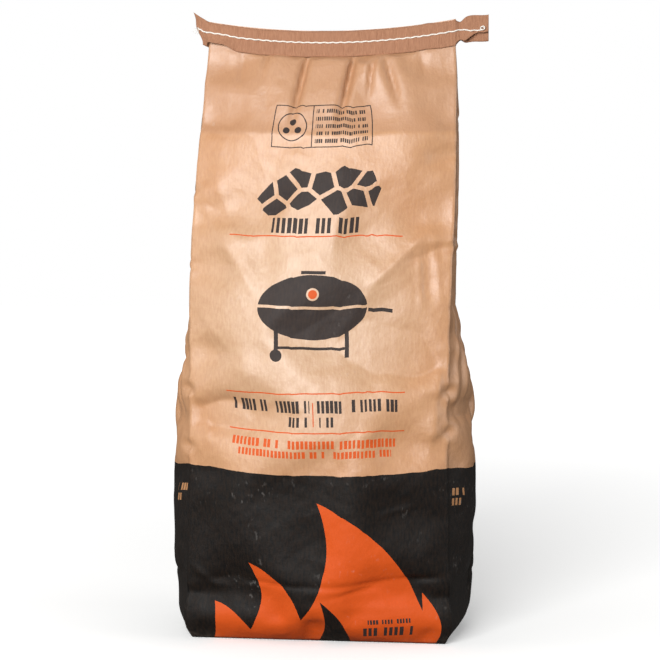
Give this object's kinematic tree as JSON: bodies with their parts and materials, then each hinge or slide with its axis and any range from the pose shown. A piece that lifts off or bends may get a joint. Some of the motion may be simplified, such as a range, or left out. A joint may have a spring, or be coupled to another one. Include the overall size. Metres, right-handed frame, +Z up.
{
  "type": "paper sack of lump charcoal",
  "caption": "Upright gusseted kraft paper sack with a sewn, tape-bound flat mouth and a square bottom, packed with charcoal lumps.",
  "frame": {"origin": "centre of the flat bottom, on the floor", "axes": "+X along the sack's width to the right seen from the front, -Y out of the printed front, +Z up to the sewn mouth"},
  "size_m": [0.3511, 0.2046, 0.6999],
  "materials": {
    "printed_kraft": "smooth machine-finished kraft paper, printed, slight sheen",
    "inner_kraft": "unprinted kraft paper, matte",
    "crepe_tape": "creped kraft tape, matte, fine cross ridges",
    "cotton_thread": "thick twisted cotton, matte",
    "charcoal": "charred oak, matte black with grey ash dust and a faint sheen on the breaks"
  },
  "bodies": {
    "root": {"outer_paper_ply": "printed_kraft", "inner_paper_ply": "inner_kraft", "binding_tape": "crepe_tape", "front_seam_thread": "cotton_thread", "back_seam_thread": "cotton_thread", "charcoal_lump_01": "charcoal", "charcoal_lump_02": "charcoal", "charcoal_lump_03": "charcoal", "charcoal_lump_04": "charcoal", "charcoal_lump_05": "charcoal", "charcoal_lump_06": "charcoal", "charcoal_lump_07": "charcoal", "charcoal_lump_08": "charcoal", "charcoal_lump_09": "charcoal", "charcoal_lump_10": "charcoal", "charcoal_lump_11": "charcoal", "charcoal_lump_12": "charcoal", "charcoal_lump_13": "charcoal", "charcoal_lump_14": "charcoal", "charcoal_lump_15": "charcoal", "charcoal_lump_16": "charcoal", "charcoal_lump_17": "charcoal", "charcoal_lump_18": "charcoal", "charcoal_lump_19": "charcoal", "charcoal_lump_20": "charcoal", "charcoal_lump_21": "charcoal", "charcoal_lump_22": "charcoal", "charcoal_lump_23": "charcoal", "charcoal_lump_24": "charcoal", "charcoal_lump_25": "charcoal", "charcoal_lump_26": "charcoal", "charcoal_lump_27": "charcoal", "charcoal_lump_28": "charcoal", "charcoal_lump_29": "charcoal", "charcoal_lump_30": "charcoal", "charcoal_lump_31": "charcoal", "charcoal_lump_32": "charcoal", "charcoal_lump_33": "charcoal", "charcoal_lump_34": "charcoal", "charcoal_lump_35": "charcoal", "charcoal_lump_36": "charcoal", "charcoal_lump_37": "charcoal", "charcoal_lump_38": "charcoal", "charcoal_lump_39": "charcoal", "charcoal_lump_40": "charcoal", "charcoal_lump_41": "charcoal", "charcoal_lump_42": "charcoal", "charcoal_lump_43": "charcoal", "charcoal_lump_44": "charcoal", "charcoal_lump_45": "charcoal"}
  },
  "joints": []
}
